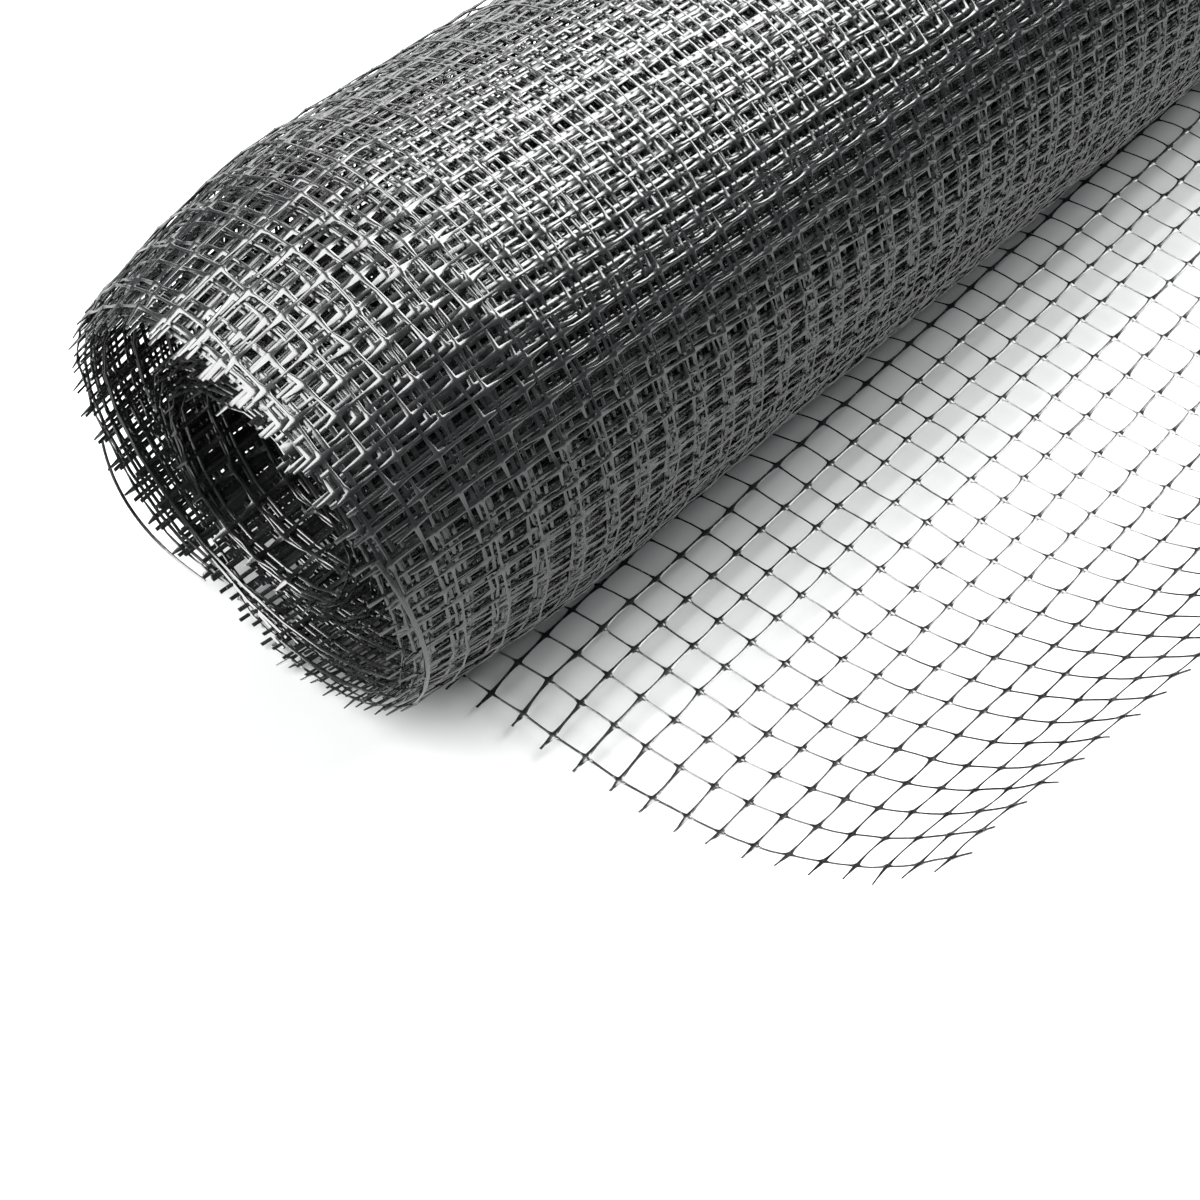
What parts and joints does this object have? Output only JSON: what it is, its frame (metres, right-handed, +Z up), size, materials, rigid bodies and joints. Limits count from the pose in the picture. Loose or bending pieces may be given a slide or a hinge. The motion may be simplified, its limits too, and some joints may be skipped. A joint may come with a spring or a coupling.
{
  "type": "roll of mole netting",
  "caption": "Loosely wound roll of extruded plastic square-mesh netting lying on its side, its loose end unrolled from underneath and curling up at the cut edge.",
  "frame": {"origin": "on the floor, at the middle of the flat that the roll rests on", "axes": "+X the way the net unrolls, +Y along the roll's axis, +Z up"},
  "size_m": [0.3859, 1.0444, 0.204],
  "materials": {
    "net": "black extruded polypropylene, glossy, with pale highlights along the strands"
  },
  "bodies": {
    "root": {"wound_roll": "net", "loose_end_under_roll": "net", "loose_end_flat": "net", "loose_end_curl": "net"}
  },
  "joints": []
}
